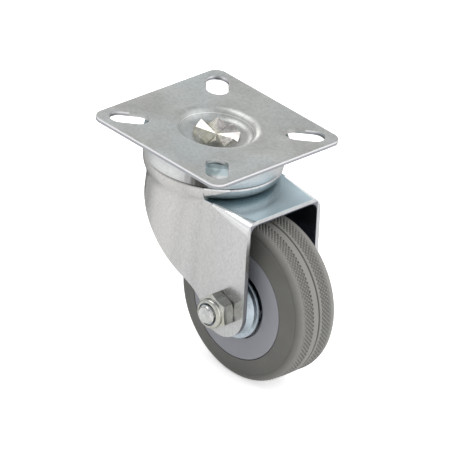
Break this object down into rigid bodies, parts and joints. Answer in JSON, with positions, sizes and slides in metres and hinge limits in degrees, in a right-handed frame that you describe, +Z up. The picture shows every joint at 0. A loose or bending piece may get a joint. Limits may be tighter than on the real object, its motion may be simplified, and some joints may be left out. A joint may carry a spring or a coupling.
{
  "type": "swivel castor",
  "caption": "Small swivel castor: square zinc-plated top plate, pressed fork on ball races, and a grey rubber-tyred wheel with a knurled tread on a through bolt and lock nut.",
  "frame": {"origin": "centre of the top plate's upper face, on the swivel axis", "axes": "+Z is up, out of the top plate; +X runs from the swivel axis towards the wheel's axle; +Y runs along the axle, away from the lock nut"},
  "size_m": [0.0755, 0.0524, 0.07],
  "materials": {
    "plate_zinc": "zinc-plated, cloudy satin",
    "cup_zinc": "bright zinc-plated",
    "kingpin_steel": "zinc-plated, struck",
    "ball_steel": "polished bearing steel",
    "fork_zinc": "bright zinc-plated, smooth",
    "bolt_zinc": "zinc-plated",
    "nut_zinc": "zinc-plated, faintly yellow",
    "nylon": "translucent nylon",
    "guard_zinc": "bright zinc-plated",
    "hub_plastic": "moulded, satin",
    "tyre_rubber": "knurled tread, matt"
  },
  "bodies": {
    "plate": {"top_plate": "plate_zinc", "upper_cup": "cup_zinc", "kingpin": "kingpin_steel", "lower_cup": "cup_zinc"},
    "fork": {"upper_balls": "ball_steel", "lower_balls": "ball_steel", "fork": "fork_zinc", "axle_bolt": "bolt_zinc", "lock_nut": "nut_zinc", "nylon_ring": "nylon", "axle_sleeve": "bolt_zinc", "thread_guard_left": "guard_zinc", "thread_guard_right": "guard_zinc", "inner_race_left": "ball_steel", "inner_race_right": "ball_steel"},
    "wheel": {"bearing_balls_left": "ball_steel", "bearing_balls_right": "ball_steel", "outer_race_left": "ball_steel", "outer_race_right": "ball_steel", "hub": "hub_plastic", "tyre": "tyre_rubber"}
  },
  "joints": [
    {"name": "swivel", "type": "hinge", "parent": "plate", "child": "fork", "pos_m": [0, 0, 0], "axis": [0, 0, 1], "continuous": true},
    {"name": "wheel_spin", "type": "hinge", "parent": "fork", "child": "wheel", "pos_m": [0.0243, 0, -0.045], "axis": [0, 1, 0], "continuous": true}
  ]
}
